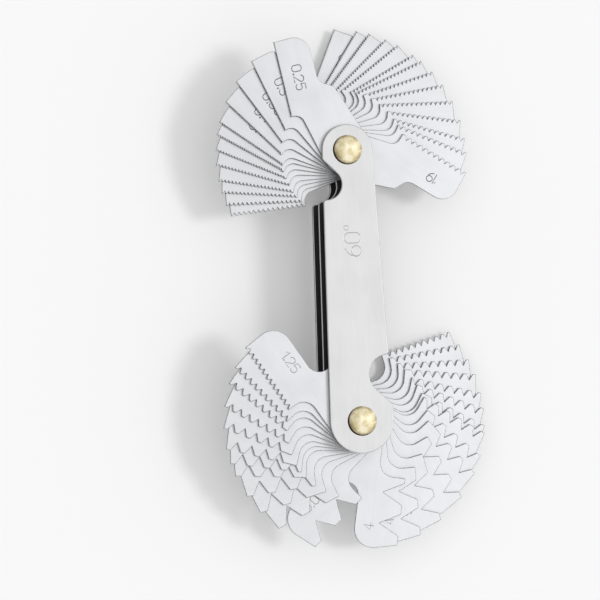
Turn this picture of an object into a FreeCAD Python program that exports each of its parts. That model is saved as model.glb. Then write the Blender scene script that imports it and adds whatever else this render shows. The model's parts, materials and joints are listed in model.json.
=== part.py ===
import FreeCAD, Part
import math
import os
from collections import namedtuple

# Folding screw pitch gauge, lying on its back. Three handle plates are riveted at
# both ends, and two packs of toothed leaves turn on the rivets: metric leaves in
# the front slot, Whitworth leaves in the back slot. Coarse pitches are at the
# large end and fine pitches at the small end.
# Millimetres. The large rivet stands on the origin, the small rivet is at +Y, and
# +Z points out of the front plate.

# Handle plates
PIVOT_DISTANCE = 55.0
PLATE_THICKNESS = 0.8
PLATE_LARGE_RADIUS = 6.55
PLATE_SMALL_RADIUS = 5.2
PLATE_EDGE_BREAK = 0.15

# Finger notch beside each pivot. Its floor is measured from the handle's centre
# line, and its middle from the pivot along the handle.
LARGE_NOTCH_RADIUS = 3.95
LARGE_NOTCH_FLOOR = 1.95
LARGE_NOTCH_OFFSET = 9.2
SMALL_NOTCH_RADIUS = 3.15
SMALL_NOTCH_FLOOR = 1.5
SMALL_NOTCH_OFFSET = 6.8
NOTCH_CORNER_RADIUS = 0.7

# Rivets
SHANK_RADIUS = 1.6
FRONT_HEAD_RADIUS = 3.0
FRONT_HEAD_HEIGHT = 1.0
BACK_HEAD_RADIUS = 2.9
BACK_HEAD_FLAT_RADIUS = 2.1
BACK_HEAD_HEIGHT = 0.7
PLATE_HOLE_CLEARANCE = 0.01
LEAF_BORE_CLEARANCE = 0.05

# Leaf stacking
LEAF_THICKNESS = 0.4
LEAF_GAP = 0.04

# Leaf blanks, drawn with the pivot at 0,0 and the toothed edge along +U on the +V
# side. The tilt is the angle between that edge and the leaf's arm, which lies
# along the handle when the leaf is folded.
FOLD_TILT = 21.0

LARGE_HUB_RADIUS = 6.2
LARGE_NECK_SLOPE = 0.0
LARGE_NECK_RADIUS = 2.9
LARGE_EDGE_START = 10.5
LARGE_EDGE_END = 25.8
LARGE_ROOT_LINE = 10.0
LARGE_CREST_LIMIT = 11.75
LARGE_BACK_LINE = 2.5
LARGE_LENGTH = 26.3
LARGE_TIP_RADIUS = 3.9
LARGE_HEEL_SLOPE = 21.0
LARGE_HEEL_LENGTH = 10.9
LARGE_HEEL_RISE = 84.0
LARGE_HEEL_RADIUS = 2.9

SMALL_HUB_RADIUS = 5.05
SMALL_NECK_SLOPE = 14.0
SMALL_NECK_RADIUS = 1.9
SMALL_EDGE_START = 9.1
SMALL_EDGE_END = 24.6
SMALL_ROOT_LINE = 9.3
SMALL_CREST_LIMIT = 10.2
SMALL_BACK_LINE = 2.4
SMALL_LENGTH = 24.85
SMALL_TIP_RADIUS = 3.4
SMALL_HEEL_SLOPE = 20.0
SMALL_HEEL_LENGTH = 12.3
SMALL_HEEL_RISE = 62.0
SMALL_HEEL_RADIUS = 2.2

# Tooth form. A crest is flat over this share of the pitch, and teeth finer than
# the limit come to a sharp V. The toothed edge of a coarse leaf ends sooner. What is
# left of the edge beside the neck is flat, and never shorter than this.
METRIC_ANGLE = 60.0
WHITWORTH_ANGLE = 55.0
INCH = 25.4
CREST_SHARE = 0.30
SHARP_PITCH_LIMIT = 0.55
SHORTEST_CREST = 0.1
COARSE_EDGE_TAPER = 0.30
TAPER_FROM_PITCH = 1.25

# Each leaf from front to back: its marking, and how far it stands open, in degrees
# from folded. Markings are millimetres for metric and threads per inch for Whitworth.
METRIC_SMALL_END = [
    ("0.25", 148.3), ("0.3", 135.4), ("0.35", 124.3), ("0.4", 114.3),
    ("0.45", 105.2), ("0.5", 99.7), ("0.6", 93.1), ("0.7", 86.7),
    ("0.75", 79.8), ("0.8", 74.4), ("0.9", 68.7), ("1.0", 63.8),
]
METRIC_LARGE_END = [
    ("1.25", 53.4), ("1.5", 62.2), ("1.75", 68.9), ("2.0", 78.1),
    ("2.5", 86.4), ("3.0", 94.6), ("3.5", 100.8), ("4.0", 106.4),
    ("4.5", 116.3), ("5.0", 125.3), ("5.5", 135.7), ("6.0", 153.5),
]
WHITWORTH_SMALL_END = [
    ("19", 77.5), ("20", 86.7), ("22", 93.3), ("24", 101.9), ("25", 111.3),
    ("26", 120.0), ("28", 127.6), ("30", 134.6), ("32", 139.2), ("36", 147.5),
    ("40", 153.6), ("48", 161.4), ("60", 167.4), ("62", 177.6),
]
WHITWORTH_LARGE_END = [
    ("4", 169.4), ("4.5", 157.7), ("5", 146.2), ("6", 132.5), ("7", 120.5),
    ("8", 112.5), ("9", 102.5), ("10", 99.1), ("11", 91.5), ("12", 84.5),
    ("13", 76.0), ("14", 68.8), ("16", 61.0), ("18", 53.9),
]

# Heights that follow from the stack. A slot is as deep as the longer of its packs.
LEAF_STEP = LEAF_THICKNESS + LEAF_GAP
FRONT_COUNT = max(len(METRIC_SMALL_END), len(METRIC_LARGE_END))
BACK_COUNT = max(len(WHITWORTH_SMALL_END), len(WHITWORTH_LARGE_END))
BACK_PLATE_Z = BACK_HEAD_HEIGHT
MIDDLE_PLATE_Z = BACK_PLATE_Z + PLATE_THICKNESS + BACK_COUNT * LEAF_STEP + LEAF_GAP
FRONT_PLATE_Z = MIDDLE_PLATE_Z + PLATE_THICKNESS + FRONT_COUNT * LEAF_STEP + LEAF_GAP
STACK_TOP = FRONT_PLATE_Z + PLATE_THICKNESS
UP = FreeCAD.Vector(0, 0, 1)

# Points closer together than this are the same point.
SAME_POINT = 1e-5

# The outline sizes of one end's leaves.
Blank = namedtuple("Blank", [
    "hub", "neck_slope", "neck_radius", "start", "end", "root", "crest_limit", "back",
    "length", "tip_radius", "heel_slope", "heel_length", "heel_rise", "heel_radius"])
LARGE_BLANK = Blank(
    LARGE_HUB_RADIUS, LARGE_NECK_SLOPE, LARGE_NECK_RADIUS, LARGE_EDGE_START,
    LARGE_EDGE_END, LARGE_ROOT_LINE, LARGE_CREST_LIMIT, LARGE_BACK_LINE,
    LARGE_LENGTH, LARGE_TIP_RADIUS, LARGE_HEEL_SLOPE, LARGE_HEEL_LENGTH,
    LARGE_HEEL_RISE, LARGE_HEEL_RADIUS)
SMALL_BLANK = Blank(
    SMALL_HUB_RADIUS, SMALL_NECK_SLOPE, SMALL_NECK_RADIUS, SMALL_EDGE_START,
    SMALL_EDGE_END, SMALL_ROOT_LINE, SMALL_CREST_LIMIT, SMALL_BACK_LINE,
    SMALL_LENGTH, SMALL_TIP_RADIUS, SMALL_HEEL_SLOPE, SMALL_HEEL_LENGTH,
    SMALL_HEEL_RISE, SMALL_HEEL_RADIUS)


def vec(x, y, z=0.0):
    return FreeCAD.Vector(x, y, z)


def polar(radius, angle):
    return vec(radius * math.cos(angle), radius * math.sin(angle))


def line(a, b):
    return Part.LineSegment(a, b).toShape()


def arc(a, middle, b):
    return Part.Arc(a, middle, b).toShape()


def rounded_corner(before, corner, after, radius):
    """Start, middle and end of the arc that is tangent to both sides of a corner."""
    to_before = (before - corner).normalize()
    to_after = (after - corner).normalize()
    half = to_before.getAngle(to_after) / 2
    reach = radius / math.tan(half)
    bisector = (to_before + to_after).normalize()
    centre = corner + bisector * (radius / math.sin(half))
    return corner + to_before * reach, centre - bisector * radius, corner + to_after * reach


def path(points):
    """Edges along (point, corner radius) pairs. The first and last points stay sharp."""
    edges = []
    at = points[0][0]
    for i in range(1, len(points)):
        corner, radius = points[i]
        if radius and i + 1 < len(points):
            start, middle, end = rounded_corner(points[i - 1][0], corner, points[i + 1][0], radius)
            edges.append(line(at, start))
            edges.append(arc(start, middle, end))
            at = end
        else:
            edges.append(line(at, corner))
            at = corner
    return edges


def tooth_line(blank, pitch, flank_angle):
    """Points of the toothed edge, from the tip inwards, with a crest at both ends."""
    crest = 0.0 if pitch < SHARP_PITCH_LIMIT else CREST_SHARE * pitch
    flank = (pitch - crest) / 2
    depth = flank / math.tan(math.radians(flank_angle / 2))
    top = min(blank.root + depth, blank.crest_limit)
    outer = blank.end - COARSE_EDGE_TAPER * max(0.0, pitch - TAPER_FROM_PITCH)
    count = int((outer - blank.start - SHORTEST_CREST) / pitch)
    points = []
    for k in range(count):
        u = outer - k * pitch
        points.append(vec(u, top))
        if crest:
            points.append(vec(u - crest, top))
        points.append(vec(u - crest - flank, top - depth))
    points.append(vec(outer - count * pitch, top))
    points.append(vec(min(blank.start, points[-1].x - SHORTEST_CREST), top))
    return points


def leaf_outline(blank, teeth):
    """The closed edge of a leaf: heel, back, tip, teeth, neck and the round of the hub."""
    heel_slope = math.radians(blank.heel_slope)
    neck_slope = math.radians(blank.neck_slope)
    heel_start = polar(blank.hub, heel_slope - math.pi / 2)
    heel_corner = heel_start + polar(blank.heel_length, heel_slope)
    run = (blank.back - heel_corner.y) / math.tan(math.radians(blank.heel_rise))
    back_corner = vec(heel_corner.x + run, blank.back)
    neck_end = polar(blank.hub, neck_slope + math.pi / 2)
    edge_end = teeth[-1].x
    neck_corner = neck_end + vec(1, math.tan(neck_slope)) * (edge_end - neck_end.x)
    points = [(heel_start, 0), (heel_corner, 0), (back_corner, blank.heel_radius)]
    points.append((vec(blank.length, blank.back), blank.tip_radius))
    points += [(p, 0) for p in teeth]
    points += [(neck_corner, blank.neck_radius), (neck_end, 0)]
    around = math.pi + (heel_slope + neck_slope) / 2
    edges = path(points)
    edges.append(arc(neck_end, polar(blank.hub, around), heel_start))
    return Part.Wire(edges)


def leaf(blank, pitch, flank_angle):
    """One leaf, lying on Z = 0 with its pivot at 0,0."""
    outline = leaf_outline(blank, tooth_line(blank, pitch, flank_angle))
    body = Part.Face(outline).extrude(UP * LEAF_THICKNESS)
    bore = Part.makeCylinder(SHANK_RADIUS + LEAF_BORE_CLEARANCE, LEAF_THICKNESS)
    return body.cut(bore)


def place_leaf(shape, pivot_y, edge_angle, z):
    shape.rotate(vec(0, 0), UP, edge_angle)
    shape.translate(vec(0, pivot_y, z))
    return shape


def edge_angle(at_small_end, left_fan, opening):
    """Direction of the toothed edge from +X for a leaf that stands open by an angle."""
    folded = -90 - FOLD_TILT if at_small_end else 90 - FOLD_TILT
    turn = 1 if at_small_end != left_fan else -1
    return folded + turn * opening


def pack(leaves, at_small_end, metric, top):
    """All leaves of one fan, as (node name, solid), with the front one's face at top."""
    solids = []
    blank = SMALL_BLANK if at_small_end else LARGE_BLANK
    for i, (mark, opening) in enumerate(leaves):
        pitch = float(mark) if metric else INCH / float(mark)
        flank_angle = METRIC_ANGLE if metric else WHITWORTH_ANGLE
        family = "metric" if metric else "whitworth"
        name = family + "_leaf_" + mark.replace(".", "_")
        angle = edge_angle(at_small_end, metric, opening)
        pivot_y = PIVOT_DISTANCE if at_small_end else 0.0
        z = top - LEAF_THICKNESS - i * LEAF_STEP
        solids.append((name, place_leaf(leaf(blank, pitch, flank_angle), pivot_y, angle, z)))
    return solids


def handle_outline():
    """The two end rounds of a plate and the tangents between them."""
    lean = math.asin((PLATE_LARGE_RADIUS - PLATE_SMALL_RADIUS) / PIVOT_DISTANCE)
    small_pivot = vec(0, PIVOT_DISTANCE)
    right_low = polar(PLATE_LARGE_RADIUS, lean)
    right_high = small_pivot + polar(PLATE_SMALL_RADIUS, lean)
    left_high = small_pivot + polar(PLATE_SMALL_RADIUS, math.pi - lean)
    left_low = polar(PLATE_LARGE_RADIUS, math.pi - lean)
    top = small_pivot + vec(0, PLATE_SMALL_RADIUS)
    bottom = vec(0, -PLATE_LARGE_RADIUS)
    return Part.Wire([
        line(right_low, right_high), arc(right_high, top, left_high),
        line(left_high, left_low), arc(left_low, bottom, right_low)])


def notch(radius, floor, offset, plate_radius):
    """A finger notch on the +X side of a pivot at 0,0: a round, a flat run-out away from
    the pivot and a ramp towards it."""
    centre = vec(floor + radius, offset)
    outside = 2 * plate_radius
    ramp_start = centre - polar(radius, math.pi / 4)
    far_start = centre + vec(0, radius)
    ramp_end = ramp_start + vec(outside, -outside)
    far_end = vec(ramp_end.x, far_start.y)
    edges = [
        line(far_end, far_start), arc(far_start, centre - vec(radius, 0), ramp_start),
        line(ramp_start, ramp_end), line(ramp_end, far_end)]
    return Part.Face(Part.Wire(edges)).extrude(UP * PLATE_THICKNESS)


def notch_corners(solid, outline, notches):
    """The upright edges where a notch meets the side of the plate."""
    found = []
    for edge in solid.Edges:
        low, high = edge.Vertexes[0].Point, edge.Vertexes[-1].Point
        if abs(low.z - high.z) < PLATE_THICKNESS / 2:
            continue
        foot = Part.Vertex(low.x, low.y, 0)
        to_outline = foot.distToShape(outline)[0]
        to_notch = min(foot.distToShape(cut)[0] for cut in notches)
        if max(to_outline, to_notch) < SAME_POINT:
            found.append(edge)
    return found


def plate(z):
    """A handle plate with its two notches, its rounded corners and its rivet holes."""
    outline = handle_outline()
    large = notch(LARGE_NOTCH_RADIUS, LARGE_NOTCH_FLOOR, LARGE_NOTCH_OFFSET, PLATE_LARGE_RADIUS)
    small = notch(SMALL_NOTCH_RADIUS, SMALL_NOTCH_FLOOR, SMALL_NOTCH_OFFSET, PLATE_SMALL_RADIUS)
    small.rotate(vec(0, 0), UP, 180)
    small.translate(vec(0, PIVOT_DISTANCE))
    solid = Part.Face(outline).extrude(UP * PLATE_THICKNESS).cut(large).cut(small)
    solid = solid.makeFillet(NOTCH_CORNER_RADIUS, notch_corners(solid, outline, [large, small]))
    rims = [e for e in solid.Edges if abs(e.BoundBox.ZLength) < PLATE_THICKNESS / 2]
    solid = solid.makeChamfer(PLATE_EDGE_BREAK, rims)
    hole = Part.makeCylinder(SHANK_RADIUS + PLATE_HOLE_CLEARANCE, PLATE_THICKNESS)
    solid = solid.cut(hole)
    hole.translate(vec(0, PIVOT_DISTANCE))
    solid = solid.cut(hole)
    solid.translate(vec(0, 0, z))
    return solid


def rivet(pivot_y):
    """A shank through the whole stack, a domed front head and a flattened back head."""
    crown = STACK_TOP + FRONT_HEAD_HEIGHT
    sphere = (FRONT_HEAD_RADIUS ** 2 + FRONT_HEAD_HEIGHT ** 2) / (2 * FRONT_HEAD_HEIGHT)
    halfway = FRONT_HEAD_RADIUS / 2
    dome_middle = vec(halfway, 0, crown - sphere + math.sqrt(sphere ** 2 - halfway ** 2))
    shoulder = BACK_HEAD_RADIUS - BACK_HEAD_FLAT_RADIUS
    shoulder_middle = vec(
        BACK_HEAD_FLAT_RADIUS + shoulder * math.sin(math.pi / 4), 0,
        BACK_HEAD_HEIGHT * (1 - math.cos(math.pi / 4)))
    flat_edge = vec(BACK_HEAD_FLAT_RADIUS, 0, 0)
    back_rim = vec(BACK_HEAD_RADIUS, 0, BACK_HEAD_HEIGHT)
    shank_low = vec(SHANK_RADIUS, 0, BACK_HEAD_HEIGHT)
    shank_high = vec(SHANK_RADIUS, 0, STACK_TOP)
    front_rim = vec(FRONT_HEAD_RADIUS, 0, STACK_TOP)
    edges = [
        line(vec(0, 0), flat_edge), arc(flat_edge, shoulder_middle, back_rim),
        line(back_rim, shank_low), line(shank_low, shank_high), line(shank_high, front_rim),
        arc(front_rim, dome_middle, vec(0, 0, crown)), line(vec(0, 0, crown), vec(0, 0))]
    solid = Part.Face(Part.Wire(edges)).revolve(vec(0, 0), UP, 360)
    solid.translate(vec(0, pivot_y))
    return solid


def build():
    nodes = {
        "front_plate": plate(FRONT_PLATE_Z),
        "middle_plate": plate(MIDDLE_PLATE_Z),
        "back_plate": plate(BACK_PLATE_Z),
        "small_end_rivet": rivet(PIVOT_DISTANCE),
        "large_end_rivet": rivet(0.0),
    }
    front_top = FRONT_PLATE_Z - LEAF_GAP
    back_top = MIDDLE_PLATE_Z - LEAF_GAP
    nodes.update(pack(METRIC_SMALL_END, True, True, front_top))
    nodes.update(pack(METRIC_LARGE_END, False, True, front_top))
    nodes.update(pack(WHITWORTH_SMALL_END, True, False, back_top))
    nodes.update(pack(WHITWORTH_LARGE_END, False, False, back_top))
    return nodes


os.makedirs("parts", exist_ok=True)
for name, shape in build().items():
    shape.exportStep("parts/" + name + ".step")
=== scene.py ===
import json
import math

import bpy
import numpy as np
from mathutils import Matrix, Vector


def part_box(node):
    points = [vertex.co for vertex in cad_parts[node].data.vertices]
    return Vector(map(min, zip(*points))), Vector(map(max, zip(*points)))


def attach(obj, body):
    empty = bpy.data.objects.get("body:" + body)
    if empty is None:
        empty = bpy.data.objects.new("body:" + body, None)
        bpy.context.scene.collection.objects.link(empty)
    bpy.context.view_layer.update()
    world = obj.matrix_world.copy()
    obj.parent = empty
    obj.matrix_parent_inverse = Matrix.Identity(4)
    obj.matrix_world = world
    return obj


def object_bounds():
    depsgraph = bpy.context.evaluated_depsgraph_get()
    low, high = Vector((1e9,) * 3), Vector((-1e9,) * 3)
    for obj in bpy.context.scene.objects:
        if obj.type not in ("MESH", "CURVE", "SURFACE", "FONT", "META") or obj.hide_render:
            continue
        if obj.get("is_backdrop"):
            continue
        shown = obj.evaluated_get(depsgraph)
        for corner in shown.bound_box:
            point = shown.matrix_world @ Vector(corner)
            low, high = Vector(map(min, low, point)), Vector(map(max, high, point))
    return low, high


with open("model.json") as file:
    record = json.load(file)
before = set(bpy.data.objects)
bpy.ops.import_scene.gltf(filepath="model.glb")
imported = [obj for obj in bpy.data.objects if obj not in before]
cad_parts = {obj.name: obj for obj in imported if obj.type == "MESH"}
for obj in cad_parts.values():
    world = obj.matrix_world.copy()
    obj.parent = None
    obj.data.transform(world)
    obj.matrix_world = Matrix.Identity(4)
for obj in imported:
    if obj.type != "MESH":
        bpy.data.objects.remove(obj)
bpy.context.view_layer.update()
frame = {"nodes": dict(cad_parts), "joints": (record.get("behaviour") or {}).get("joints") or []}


# -------------------------------------------------------------------------- leaves
# The fifty-two leaves are blanked from thin stainless strip and ground along the
# toothed edge. The punch has rolled the rim over a little, and the rim is painted near
# black as shade, fuller towards the toothed side. The rough sheared wall under it,
# teeth included, is painted dark as shade too.

MM = 0.001
FOLD_TILT = 21.0           # degrees from the arm of a folded leaf to its toothed edge
LEAF_TINT = (0.69, 0.695, 0.713)
LEAF_RIM = 0.24 * MM       # width of the rolled-over rim
# painted shade along a leaf's rim, near black
LEAF_RIM_SHADE = (0.012, 0.012, 0.013, 1)
RIM_SHADE_SIDE = (3.5 * MM, 6.0 * MM)         # off the pivot, where the rim's painted shade turns from thin to full
THIN_RIM_SHADE, FULL_RIM_SHADE = 0.3, 1.0             # how much of the rim takes its painted shade
PLAIN_RIM = 0.85                           # the same on a piece that isn't a leaf
HUB_WEAR_RADIUS = 6.4 * MM
RUB_RING = 0.16 * MM       # width of one ring rubbed into the hub
# painted shade on the plate faces inside the slots
SLOT_SHADE_TINT = (0.06, 0.06, 0.063, 1)
WALL_SHADE_TONE = (0.05, 0.13)   # the sheared wall, painted dark as shade, from its darkest to its lightest spots
WALL_SPOT = 0.12 * MM
WALL_METAL = 0.5           # how metallic the sheared wall looks
GRAIN_SIZE = (3.0 * MM, 0.09 * MM)         # along and across the grinding
CLOUD_SIZE = (9.0 * MM, 6.0 * MM)
STREAK_SIZE = (14.0 * MM, 0.5 * MM)
STEEL_ROUGHNESS = (0.40, 0.50)
NOISE_SPAN = (0.3, 0.7)    # nearly all of a noise lies in here


def leaf_place(joint):
    """A leaf's pivot and the direction of its toothed edge. The top of the joint's range
    is how far the leaf stands open from folded."""
    pivot = Vector(joint["pos_m"])
    folded = -90 - FOLD_TILT if pivot.y > 0 else 90 - FOLD_TILT
    return pivot, math.radians(folded - joint["axis"][2] * joint["range_deg"][1])


def add_node(tree, kind, inputs, **settings):
    """Adds a shader node. Each input is given as a value or as the socket that feeds it."""
    made = tree.nodes.new("ShaderNode" + kind)
    for key, value in settings.items():
        setattr(made, key, value)
    for key, value in inputs.items():
        if isinstance(value, bpy.types.NodeSocket):
            tree.links.new(value, made.inputs[key])
        else:
            made.inputs[key].default_value = value
    return made


def calculate(tree, operation, *values, **settings):
    """One step of arithmetic on sockets or numbers."""
    made = add_node(tree, "Math", dict(enumerate(values)), operation=operation, **settings)
    return made.outputs[0]


def remap(tree, value, low, high, to_low, to_high):
    """A straight ramp from low..high to to_low..to_high, held at both ends."""
    ramp = {"Value": value, "From Min": low, "From Max": high,
            "To Min": to_low, "To Max": to_high}
    return add_node(tree, "MapRange", ramp).outputs[0]


def mix_colours(tree, share, first, second):
    """The first colour where share is 0 and the second where it is 1."""
    made = add_node(tree, "Mix", {0: share, 6: first, 7: second}, data_type="RGBA")
    return made.outputs[2]


def new_material(name):
    """A node material with only a principled shader in it."""
    material = bpy.data.materials.new(name)
    material.use_nodes = True
    tree = material.node_tree
    tree.nodes.clear()
    shader = add_node(tree, "BsdfPrincipled", {})
    add_node(tree, "OutputMaterial", {"Surface": shader.outputs[0]})
    return material, tree, shader


def from_noise(tree, noise, low, high):
    """Spreads a noise over low..high."""
    return remap(tree, noise, *NOISE_SPAN, low, high)


def local_coordinates(tree, centre, turn):
    """The piece's own coordinates, moved to a centre and turned so that X runs along turn."""
    own = add_node(tree, "TexCoord", {})
    back = Matrix.Rotation(-turn, 3, "Z")
    inputs = {"Vector": own.outputs["Object"], "Location": -(back @ Vector(centre)),
              "Rotation": (0, 0, -turn)}
    return add_node(tree, "Mapping", inputs).outputs[0], own.outputs["Normal"]


def stretched_noise(tree, place, along, across, detail=2.0):
    """Noise whose grains are along by across in size, both in metres."""
    sizes = (1 / along, 1 / across, 1 / across)
    scaled = add_node(tree, "VectorMath", {0: place, 1: sizes}, operation="MULTIPLY")
    inputs = {"Vector": scaled.outputs[0], "Scale": 1.0, "Detail": detail}
    return add_node(tree, "TexNoise", inputs).outputs[0]


def distance_from_axis(tree, place):
    """How far a point lies from the upright axis through the centre of place."""
    flat = add_node(tree, "VectorMath", {0: place, 1: (1, 1, 0)}, operation="MULTIPLY")
    return add_node(tree, "VectorMath", {0: flat.outputs[0]}, operation="LENGTH").outputs["Value"]


def ground_steel(name, tint, centre, turn, rim, rim_tint, hub_wear=0.0, slot_shade_sides=()):
    """Satin steel: fine grain along turn, soft clouding, a rolled rim that takes rim_tint and a
    rough sheared wall painted dark as shade. With hub_wear it is a leaf's: faint rings inside
    that radius, where the stack has rubbed, and a rim whose painted shade is thin away from the
    toothed side and full towards it.
    The faces in the last argument, 1 for the front and -1 for the back, look into the slots and
    are painted dark as shade."""
    material, tree, shader = new_material(name)
    place, normal = local_coordinates(tree, centre, turn)
    grain = stretched_noise(tree, place, *GRAIN_SIZE, detail=3.0)
    cloud = stretched_noise(tree, place, *CLOUD_SIZE)
    streak = stretched_noise(tree, place, *STREAK_SIZE)
    tone = calculate(tree, "ADD", from_noise(tree, grain, -0.022, 0.022), 1.0)
    tone = calculate(tree, "ADD", tone, from_noise(tree, cloud, -0.03, 0.03))
    tone = calculate(tree, "ADD", tone, from_noise(tree, streak, -0.012, 0.012))
    cover = PLAIN_RIM
    if hub_wear:
        radius = distance_from_axis(tree, place)
        along_radius = {"W": calculate(tree, "DIVIDE", radius, RUB_RING), "Scale": 1.0}
        ring = add_node(tree, "TexNoise", along_radius, noise_dimensions="1D").outputs[0]
        worn = remap(tree, radius, hub_wear * 0.85, hub_wear, 1.0, 0.0)
        ring = calculate(tree, "MULTIPLY", worn, from_noise(tree, ring, -0.07, 0.03))
        tone = calculate(tree, "ADD", tone, ring)
        # on a leaf, the rim's painted shade fills out towards the toothed side
        towards_teeth = add_node(tree, "SeparateXYZ", {0: place}).outputs[1]
        cover = remap(tree, towards_teeth, *RIM_SHADE_SIDE, THIN_RIM_SHADE, FULL_RIM_SHADE)
    face = add_node(tree, "VectorMath", {0: tint, "Scale": tone}, operation="SCALE").outputs[0]

    rounded = add_node(tree, "Bevel", {"Radius": rim}, samples=4).outputs[0]
    true_normal = add_node(tree, "NewGeometry", {}).outputs["True Normal"]
    likeness = add_node(tree, "VectorMath", {0: rounded, 1: true_normal},
                        operation="DOT_PRODUCT").outputs["Value"]
    # the rim takes rim_tint: painted shade on a leaf, its own brighter tint on a plate
    rolled = calculate(tree, "MULTIPLY", remap(tree, likeness, 0.999, 0.93, 0.0, 1.0), cover)
    face = mix_colours(tree, rolled, face, rim_tint)
    upright = add_node(tree, "SeparateXYZ", {0: normal}).outputs[2]
    wall = calculate(tree, "LESS_THAN", calculate(tree, "ABSOLUTE", upright), 0.5)
    # the rough wall is painted dark as shade, in spots
    wall_spot_shade = from_noise(tree, stretched_noise(tree, place, WALL_SPOT, WALL_SPOT), *WALL_SHADE_TONE)
    # plate faces inside the slots are painted dark as shade
    for side in slot_shade_sides:
        slot_face = calculate(tree, "GREATER_THAN", calculate(tree, "MULTIPLY", upright, side), 0.9)
        face = mix_colours(tree, slot_face, face, SLOT_SHADE_TINT)
    painted_wall_shade = add_node(tree, "CombineColor", {0: wall_spot_shade, 1: wall_spot_shade, 2: wall_spot_shade}).outputs[0]
    colour = mix_colours(tree, wall, face, painted_wall_shade)
    tree.links.new(colour, shader.inputs["Base Color"])

    rough = calculate(tree, "ADD", from_noise(tree, grain, *STEEL_ROUGHNESS),
                      from_noise(tree, cloud, -0.04, 0.04))
    rough = calculate(tree, "ADD", rough, calculate(tree, "MULTIPLY", wall, 0.2))
    tree.links.new(rough, shader.inputs["Roughness"])
    bump = add_node(tree, "Bump", {"Height": grain, "Distance": 0.004 * MM, "Strength": 0.5,
                                   "Normal": rounded})
    tree.links.new(bump.outputs[0], shader.inputs["Normal"])
    tree.links.new(remap(tree, wall, 0, 1, 1.0, WALL_METAL), shader.inputs["Metallic"])
    shader.inputs["Specular IOR Level"].default_value = 0.0
    return material


def dress(node, material):
    """Gives a piece of the frame its finish."""
    mesh = frame["nodes"][node].data
    mesh.materials.clear()
    mesh.materials.append(material)


for joint in frame["joints"]:
    leaf = joint["child"]
    pivot, direction = leaf_place(joint)
    dress(leaf, ground_steel(leaf + "_steel", LEAF_TINT, pivot, direction, LEAF_RIM,
                             LEAF_RIM_SHADE, HUB_WEAR_RADIUS))


# ------------------------------------------------------------------- leaf numbers
# Every leaf has its pitch struck into its face with small number punches: millimetres
# on the metric leaves, threads per inch on the Whitworth leaves. A stroke is a shallow
# groove between two low burrs, and the groove is painted dark as shade, in patches,
# deeper at the small end than at the large end.

NUMBER_HEIGHT = 2.0 * MM
NUMBER_STROKE = 0.26 * MM
BURR_HEIGHT = 0.012 * MM
NUMBER_START = {            # from the pivot, along the toothed edge and across to the teeth
    ("metric", "small"): (19.1 * MM, 6.1 * MM),
    ("metric", "large"): (20.4 * MM, 4.9 * MM),
    ("whitworth", "small"): (20.2 * MM, 5.5 * MM),
    ("whitworth", "large"): (21.7 * MM, 5.3 * MM),
}
DIGIT_WIDTH = 0.64         # of its height
DIGIT_SPACE = 0.17
DEEP_GROOVE_SHADE = (0.08, 0.08, 0.083, 1)          # the groove's floor at the small end, painted as deep shade
# the burrs at the small end are darkened with the painted shade
DEEP_SHADE_BURR_TINT = (0.50, 0.50, 0.51, 1)
LIGHT_GROOVE_SHADE = (0.24, 0.24, 0.25, 1)          # and at the large end, painted as lighter shade
LIGHT_SHADE_BURR_TINT = (0.70, 0.70, 0.71, 1)


def bow(cx, cy, rx, ry, start, end, steps=14):
    """Points along an elliptical arc, with angles in degrees."""
    angle = np.radians(np.linspace(start, end, steps))
    return np.stack([cx + rx * np.cos(angle), cy + ry * np.sin(angle)], axis=1)


def digit_strokes(mark):
    """The strokes of one character in a box that is 1 high and DIGIT_WIDTH wide. A stroke is
    a run of points, and one that ends where it starts is a closed ring."""
    w = DIGIT_WIDTH
    half = w / 2
    strokes = {
        "0": [np.vstack([bow(half, 0.72, half, 0.28, 0, 180),
                         bow(half, 0.28, half, 0.28, 180, 360), [(w, 0.72)]])],
        "1": [np.array([(0.1, 0.76), (half + 0.04, 1.0), (half + 0.04, 0.0)])],
        "2": [np.vstack([bow(half, 0.72, half, 0.28, 165, -35), [(0.0, 0.0), (w, 0.0)]])],
        "3": [np.vstack([bow(half, 0.76, half * 0.92, 0.24, 150, -90),
                         bow(half, 0.26, half, 0.26, 90, -155)])],
        "4": [np.array([(0.42, 0.0), (0.42, 1.0), (0.0, 0.28), (w, 0.28)])],
        "5": [np.vstack([[(w - 0.04, 1.0), (0.07, 1.0), (0.03, 0.55)],
                         bow(half, 0.32, half, 0.32, 130, -150)])],
        "6": [np.vstack([bow(w + 0.02, 0.34, w, 0.66, 105, 175),
                         bow(half, 0.30, half, 0.30, 180, 540, 24)])],
        "7": [np.array([(0.0, 1.0), (w, 1.0), (0.18, 0.0)])],
        "8": [bow(half, 0.76, half * 0.86, 0.24, -90, 270, 22),
              bow(half, 0.26, half, 0.26, 90, 450, 22)],
        "9": [np.vstack([bow(-0.02, 0.66, w, 0.66, -75, -5),
                         bow(half, 0.70, half, 0.30, 0, 360, 24)])],
        ".": [bow(0.05, 0.05, 0.05, 0.05, 0, 360, 10)],
        "°": [bow(0.14, 0.86, 0.14, 0.14, 0, 360, 16)],
    }
    return strokes[mark]


def character_width(mark):
    """A character's width, as a share of its height."""
    return {".": 0.1, "°": 0.28, "1": 0.36}.get(mark, DIGIT_WIDTH)


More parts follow.
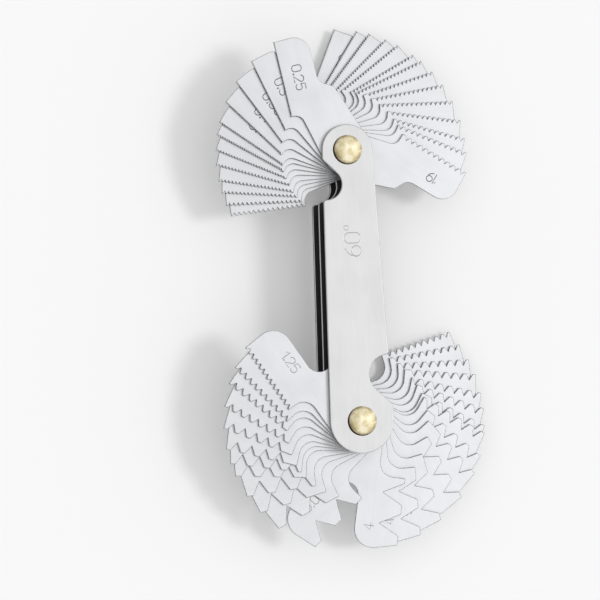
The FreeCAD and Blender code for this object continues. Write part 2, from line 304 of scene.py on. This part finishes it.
def struck_groove(points, half_width, burr):
    """Carries the section of a struck line along points: out of the face, over a burr, down
    into the groove, over the other burr and back under the face. Round ends close the run:
    there the section narrows as the square root of 1 - t squared while it moves on by t."""
    closed = np.allclose(points[0], points[-1])
    if closed:
        points = points[:-1]
        ahead = np.roll(points, -1, axis=0) - np.roll(points, 1, axis=0)
        narrow = np.ones(len(points))
    else:
        ahead = np.gradient(points, axis=0)
        t = np.array([1.0, 0.8, 0.45])
        lead = points[:1] - t[:, None] * half_width * ahead[:1] / np.linalg.norm(ahead[0])
        trail = points[-1:] + t[::-1, None] * half_width * ahead[-1:] / np.linalg.norm(ahead[-1])
        points = np.vstack([lead, points, trail])
        ahead = np.vstack([np.repeat(ahead[:1], 3, 0), ahead, np.repeat(ahead[-1:], 3, 0)])
        end = np.sqrt(np.maximum(1 - t ** 2, 1e-4))
        narrow = np.concatenate([end, np.ones(len(points) - 6), end[::-1]])
    ahead = ahead / np.linalg.norm(ahead, axis=1, keepdims=True)
    side = np.stack([ahead[:, 1], -ahead[:, 0]], axis=1)
    across = np.array([-1.0, -0.7, -0.3, 0.3, 0.7, 1.0, 0.0])
    height = np.array([-0.5, 1.0, 0.15, 0.15, 1.0, -0.5, -1.0]) * burr
    depth = np.array([0.3, 0.0, 1.0, 1.0, 0.0, 0.3, 1.0])
    reach = across[None, :, None] * half_width * narrow[:, None, None]
    flat = points[:, None] + side[:, None] * reach
    rise = np.broadcast_to(height, flat.shape[:2])
    vertices = np.dstack([flat, rise]).reshape(-1, 3)
    count, ring = flat.shape[:2]
    i, j = np.meshgrid(np.arange(count if closed else count - 1), np.arange(ring), indexing="ij")
    i_next, j_next = (i + 1) % count, (j + 1) % ring
    faces = np.stack([i * ring + j, i * ring + j_next,
                      i_next * ring + j_next, i_next * ring + j], -1)
    faces = faces.reshape(-1, 4).tolist()
    if not closed:
        faces += [list(range(ring))[::-1], list(range((count - 1) * ring, count * ring))]
    return vertices, faces, np.tile(depth, count)


def struck_text(name, text, height, half_width, burr, place, material, body, centred=0.0):
    """Text struck into a face. place takes the text's own plane to where it goes. There, X runs
    along the text from its start, Y up from its middle, and Z out of the face."""
    widths = [character_width(c) for c in text]
    starts = np.cumsum([0.0] + [w + DIGIT_SPACE for w in widths[:-1]])
    length = starts[-1] + widths[-1]
    vertices, faces, depths = [], [], []
    for start, mark in zip(starts, text):
        for stroke in digit_strokes(mark):
            points = (stroke + [start - length * centred, -0.5]) * height
            some, quads, depth = struck_groove(points, half_width, burr)
            offset = sum(len(v) for v in vertices)
            faces += [[v + offset for v in quad] for quad in quads]
            vertices.append(some)
            depths.append(depth)
    mesh = bpy.data.meshes.new(name)
    mesh.from_pydata(np.vstack(vertices).tolist(), [], faces)
    groove = mesh.attributes.new("groove", "FLOAT", "POINT")
    groove.data.foreach_set("value", np.concatenate(depths))
    mesh.transform(place)
    mesh.materials.append(material)
    piece = bpy.data.objects.new(name, mesh)
    bpy.context.scene.collection.objects.link(piece)
    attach(piece, body)


def struck_mark_finish(name, groove_shade_colour, burr_colour):
    """The burrs are bright and the groove between them is painted dark as shade, in patches."""
    material, tree, shader = new_material(name)
    groove = add_node(tree, "Attribute", {}, attribute_name="groove").outputs["Fac"]
    place, _ = local_coordinates(tree, (0, 0, 0), 0)
    patch = from_noise(tree, stretched_noise(tree, place, 0.4 * MM, 0.4 * MM), 0.7, 1.15)
    # the groove is painted dark as shade, in patches
    patchy_groove_shade = calculate(tree, "MULTIPLY", groove, patch)
    colour = mix_colours(tree, patchy_groove_shade, burr_colour, groove_shade_colour)
    tree.links.new(colour, shader.inputs["Base Color"])
    tree.links.new(remap(tree, groove, 0, 1, 0.35, 0.6), shader.inputs["Roughness"])
    shader.inputs["Metallic"].default_value = 1.0
    return material


# a deeply shaded copy for the small end and a lighter shaded copy for the large end
number_finish = {"small": struck_mark_finish("number_deep_groove_shade", DEEP_GROOVE_SHADE, DEEP_SHADE_BURR_TINT),
                 "large": struck_mark_finish("number_light_groove_shade", LIGHT_GROOVE_SHADE, LIGHT_SHADE_BURR_TINT)}
for joint in frame["joints"]:
    leaf = joint["child"]
    pivot, direction = leaf_place(joint)
    end = "small" if pivot.y > 0 else "large"
    family, pitch = leaf.split("_leaf_")
    along, across = NUMBER_START[family, end]
    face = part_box(leaf)[1].z
    on_leaf = Matrix.Translation((along, across, 0)) @ Matrix.Rotation(math.pi, 4, "Z")
    at_pivot = Matrix.Translation((pivot.x, pivot.y, face)) @ Matrix.Rotation(direction, 4, "Z")
    struck_text("number_" + leaf, pitch.replace("_", "."), NUMBER_HEIGHT, NUMBER_STROKE / 2,
                BURR_HEIGHT, at_pivot @ on_leaf, number_finish[end], leaf)


# ------------------------------------------------------------------ handle plates
# Three plates of thicker stainless sheet, blanked in one tool, linished lengthwise and
# tumbled, so that their edges are broken and brighter than their walls. Their faces
# inside the slots are painted dark as shade.

PLATE_TINT = (0.65, 0.65, 0.655)
PLATE_RIM = 0.16 * MM
PLATE_RIM_TINT = (0.70, 0.70, 0.71, 1)
LENGTHWISE = math.pi / 2
# the plate faces that look into the slots, painted dark as shade
SLOT_SIDES = {"front_plate": (-1,), "middle_plate": (-1, 1), "back_plate": (1,)}
for plate, sides in SLOT_SIDES.items():
    finish = ground_steel(plate + "_steel", PLATE_TINT, (0, 0, 0), LENGTHWISE, PLATE_RIM,
                          PLATE_RIM_TINT, slot_shade_sides=sides)
    dress(plate, finish)


# ------------------------------------------------------------------- flank angles
# The thread's flank angle is struck along the middle of each outer plate with larger
# punches: 60 degrees over the metric leaves, 55 degrees over the Whitworth leaves.

ANGLE_HEIGHT = 3.3 * MM
ANGLE_STROKE = 0.30 * MM
ANGLE_ALONG = 36.5 * MM    # from the large rivet
# the groove of the flank angles, painted dark as shade
ANGLE_GROOVE_SHADE = (0.34, 0.34, 0.35, 1)
ANGLE_BURR_TINT = (0.75, 0.75, 0.76, 1)
CENTRED = 0.5              # the share of the text that lies before its place
angle_finish = struck_mark_finish("struck_angle", ANGLE_GROOVE_SHADE, ANGLE_BURR_TINT)
front_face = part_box("front_plate")[1].z
back_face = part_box("back_plate")[0].z
upright = Matrix.Rotation(math.pi / 2, 4, "Z")
seen_from_behind = Matrix.Rotation(math.pi, 4, "Y")
struck_text("front_angle", "60°", ANGLE_HEIGHT, ANGLE_STROKE / 2, BURR_HEIGHT,
            Matrix.Translation((0, ANGLE_ALONG, front_face)) @ upright,
            angle_finish, "handle", CENTRED)
struck_text("back_angle", "55°", ANGLE_HEIGHT, ANGLE_STROKE / 2, BURR_HEIGHT,
            Matrix.Translation((0, ANGLE_ALONG, back_face)) @ seen_from_behind @ upright,
            angle_finish, "handle", CENTRED)


# ------------------------------------------------------------------------- rivets
# Two brass rivets hold the stack. Their front heads are set to low domes with a
# cupped punch, which leaves shallow facets. Towards the rim, where a head meets the plate,
# they are painted with tarnish and shade, darker on the lower left.

HEAD_RADIUS = 3.0 * MM
BRASS_BRIGHT = (0.97, 0.91, 0.73, 1)
BRASS_DULL = (0.80, 0.72, 0.49, 1)
BRASS_TARNISH_AND_SHADE = (0.36, 0.29, 0.14, 1)
BRASS_RIM_SHADE = (0.03, 0.025, 0.018, 1)
SHADED_SIDE_SHIFT = (0.24 * MM, 0.12 * MM, 0)     # the centre of the tarnish and painted shade rings, from the head's centre, so that the lower left is darker
TARNISH_AND_SHADE_RING = (0.78 * HEAD_RADIUS, 1.08 * HEAD_RADIUS)
RIM_SHADE_RING = (0.95 * HEAD_RADIUS, 1.01 * HEAD_RADIUS)
PATCH_SIZE = 1.3 * MM
PATCH_SPAN = (0.35, 0.65)


def set_brass(name, centre):
    """Brass in two tones that blend in patches, with set facets. Tarnish with painted shade, and
    then a darker painted shade, darken it towards the rim, more on the lower left, as the rings'
    centre lies off the head's."""
    material, tree, shader = new_material(name)
    place, _ = local_coordinates(tree, Vector(centre) + Vector(SHADED_SIDE_SHIFT), 0)
    patch = stretched_noise(tree, place, PATCH_SIZE, PATCH_SIZE, 3.0)
    fine = stretched_noise(tree, place, 0.12 * MM, 0.12 * MM)
    radius = distance_from_axis(tree, place)
    colour = mix_colours(tree, remap(tree, patch, *PATCH_SPAN, 0, 1), BRASS_BRIGHT, BRASS_DULL)
    spread = remap(tree, patch, *PATCH_SPAN, -0.25 * MM, 0.25 * MM)
    spotted = calculate(tree, "ADD", radius, spread)
    # tarnish and painted shade towards the rim, darker on the lower left
    colour = mix_colours(tree, remap(tree, spotted, *TARNISH_AND_SHADE_RING, 0, 1), colour, BRASS_TARNISH_AND_SHADE)
    # painted shade where the head meets the plate, darker on the lower left
    colour = mix_colours(tree, remap(tree, radius, *RIM_SHADE_RING, 0, 1), colour, BRASS_RIM_SHADE)
    tree.links.new(colour, shader.inputs["Base Color"])
    rough = calculate(tree, "ADD", remap(tree, patch, *PATCH_SPAN, 0.62, 0.76),
                      from_noise(tree, fine, 0, 0.08))
    tree.links.new(rough, shader.inputs["Roughness"])
    bump = add_node(tree, "Bump", {"Height": patch, "Distance": 0.25 * MM, "Strength": 0.6})
    tree.links.new(bump.outputs[0], shader.inputs["Normal"])
    shader.inputs["Metallic"].default_value = 1.0
    return material


for rivet in ("small_end_rivet", "large_end_rivet"):
    low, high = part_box(rivet)
    dress(rivet, set_brass(rivet + "_brass", (0, (low.y + high.y) / 2, 0)))


# ------------------------------------------------------------- table, light, camera
# The gauge lies on a plain white table under a broad soft light from above and to the
# right, in a pale room that is darker on the left. The camera looks almost straight down.

TABLE_REACH = 1.5          # metres to each side
TABLE_TINT = (0.80, 0.80, 0.80, 1)
TABLE_GLOW = 0.14          # seen by the camera and in the steel, and lights nothing
ROOM_LIGHT = (0.40, 0.92)  # from the dark side to the bright side
ROOM_BRIGHT_SIDE = Vector((0.46, -0.05, 0.88)).normalized()
KEY_STRENGTH = 0.9
KEY_SPREAD = math.radians(14)
KEY_SIDE = Vector((0.62, 0.0, 0.76))

table = bpy.data.meshes.new("table")
corners = [(x * TABLE_REACH, y * TABLE_REACH, 0) for x, y in ((-1, -1), (1, -1), (1, 1), (-1, 1))]
table.from_pydata(corners, [], [(0, 1, 2, 3)])
table_object = bpy.data.objects.new("table", table)
bpy.context.scene.collection.objects.link(table_object)
table_finish, tree, shader = new_material("table_white")
shader.inputs["Base Color"].default_value = TABLE_TINT
shader.inputs["Roughness"].default_value = 0.8
shader.inputs["Specular IOR Level"].default_value = 0.1
ray = add_node(tree, "LightPath", {}).outputs
seen = calculate(tree, "MAXIMUM", ray["Is Camera Ray"], ray["Is Glossy Ray"])
tree.links.new(calculate(tree, "MULTIPLY", seen, TABLE_GLOW), shader.inputs["Emission Strength"])
shader.inputs["Emission Color"].default_value = (1, 1, 1, 1)
table.materials.append(table_finish)
table_object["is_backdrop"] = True

world = bpy.data.worlds.new("room")
bpy.context.scene.world = world
world.use_nodes = True
tree = world.node_tree
sky = add_node(tree, "TexCoord", {}).outputs["Generated"]
facing = add_node(tree, "VectorMath", {0: sky, 1: ROOM_BRIGHT_SIDE},
                  operation="DOT_PRODUCT").outputs["Value"]
glow = remap(tree, facing, -0.6, 1.0, *ROOM_LIGHT)
room = tree.nodes["Background"]
room.inputs["Color"].default_value = (1, 1, 1, 1)
tree.links.new(glow, room.inputs["Strength"])

sun = bpy.data.lights.new("key_light", "SUN")
sun.energy = KEY_STRENGTH
sun.angle = KEY_SPREAD
sun_object = bpy.data.objects.new("key_light", sun)
sun_object.rotation_euler = KEY_SIDE.to_track_quat("Z", "Y").to_euler()
bpy.context.scene.collection.objects.link(sun_object)

camera_data = bpy.data.cameras.new("camera")
camera_data.lens = 147.3
camera = bpy.data.objects.new("camera", camera_data)
bpy.context.scene.collection.objects.link(camera)
eye = Vector((-95.5, 9.7, 501.9)) * MM
forward = Vector((0.170, 0.031, -0.985)).normalized()
up = Vector((0.048, 0.998, 0.040))
right = forward.cross(up).normalized()
axes = Matrix((right, right.cross(forward), -forward)).transposed()
camera.matrix_world = Matrix.Translation(eye) @ axes.to_4x4()
bpy.context.scene.camera = camera
bpy.context.scene.view_settings.view_transform = "Standard"

low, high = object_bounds()
